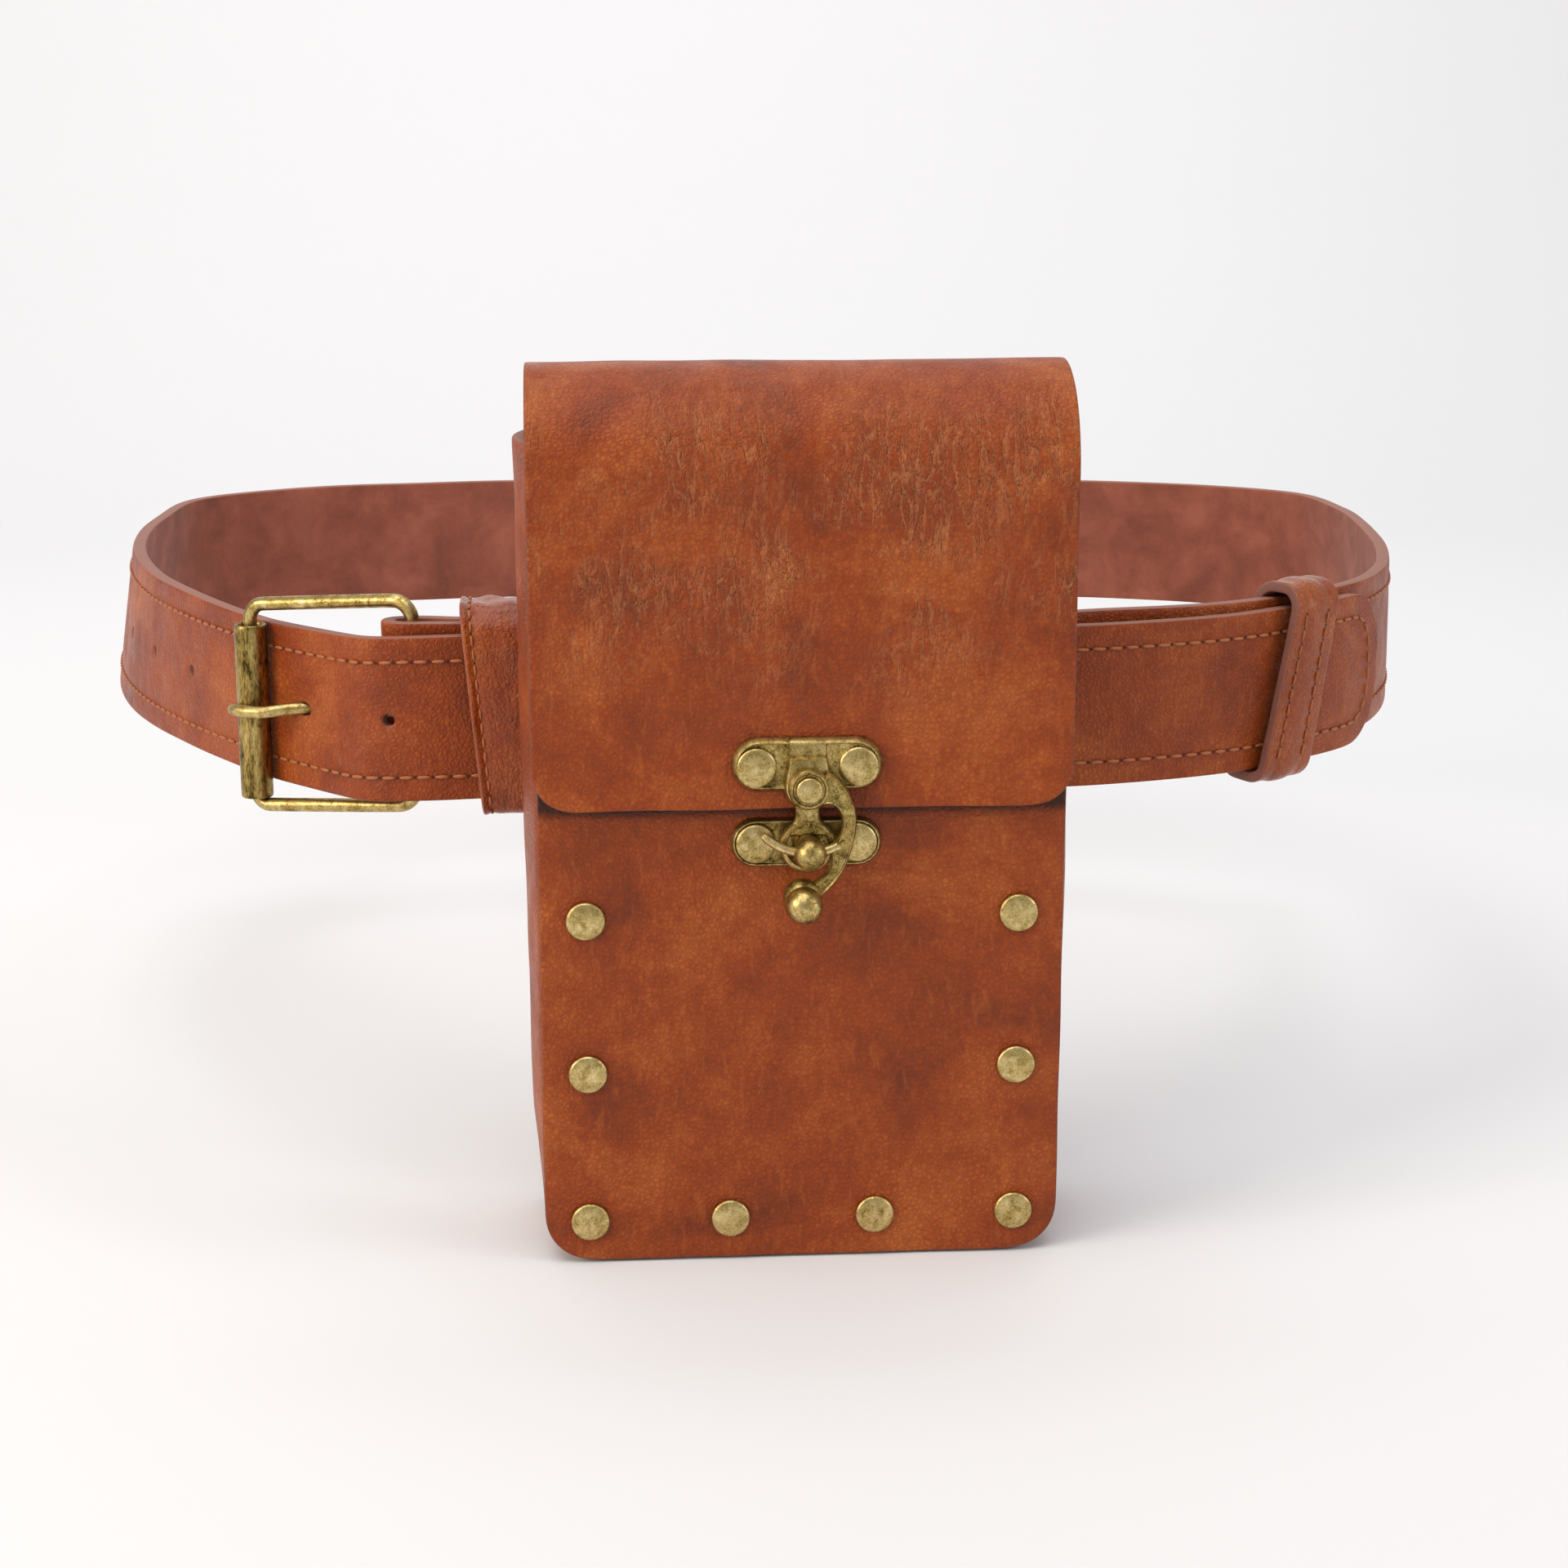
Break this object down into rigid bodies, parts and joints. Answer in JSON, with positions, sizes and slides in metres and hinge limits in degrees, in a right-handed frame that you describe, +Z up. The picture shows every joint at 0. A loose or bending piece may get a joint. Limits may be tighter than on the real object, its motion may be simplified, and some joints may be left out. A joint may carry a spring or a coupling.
{
  "type": "belt pouch",
  "caption": "Upright leather belt pouch with riveted front panel, fold-over flap and swing-hook clasp, on a roller-buckle belt fastened in a waist loop.",
  "frame": {"origin": "middle of the belt's waist loop at half the belt's height, where a waist goes in", "axes": "+Z up, -Y the way the pouch faces, +X towards the belt's free end; X = 0 is the middle of the pouch"},
  "size_m": [0.3139, 0.3038, 0.1696],
  "materials": {
    "leather": "mottled cognac leather, waxed",
    "antique_brass": "aged, darkened in the recesses"
  },
  "bodies": {
    "pouch": {"back_and_flap": "leather", "front_panel": "leather", "gusset": "leather", "belt_sleeve": "leather", "belt_strap": "leather", "belt_keeper": "leather", "buckle_frame": "antique_brass", "buckle_roller": "antique_brass", "buckle_prong": "antique_brass", "clasp_top_plate": "antique_brass", "clasp_bottom_plate": "antique_brass", "clasp_pivot_pin": "antique_brass", "clasp_top_rivet_left": "antique_brass", "clasp_top_rivet_right": "antique_brass", "clasp_bottom_rivet_left": "antique_brass", "clasp_bottom_rivet_right": "antique_brass", "panel_rivet_1": "antique_brass", "panel_rivet_2": "antique_brass", "panel_rivet_3": "antique_brass", "panel_rivet_4": "antique_brass", "panel_rivet_5": "antique_brass", "panel_rivet_6": "antique_brass", "panel_rivet_7": "antique_brass", "panel_rivet_8": "antique_brass"},
    "hook": {"clasp_hook": "antique_brass"}
  },
  "joints": [
    {"name": "clasp_swing", "type": "hinge", "parent": "pouch", "child": "hook", "pos_m": [0.0005, -0.173, -0.0041], "axis": [0, -1, 0], "range_deg": [0, 85]}
  ]
}
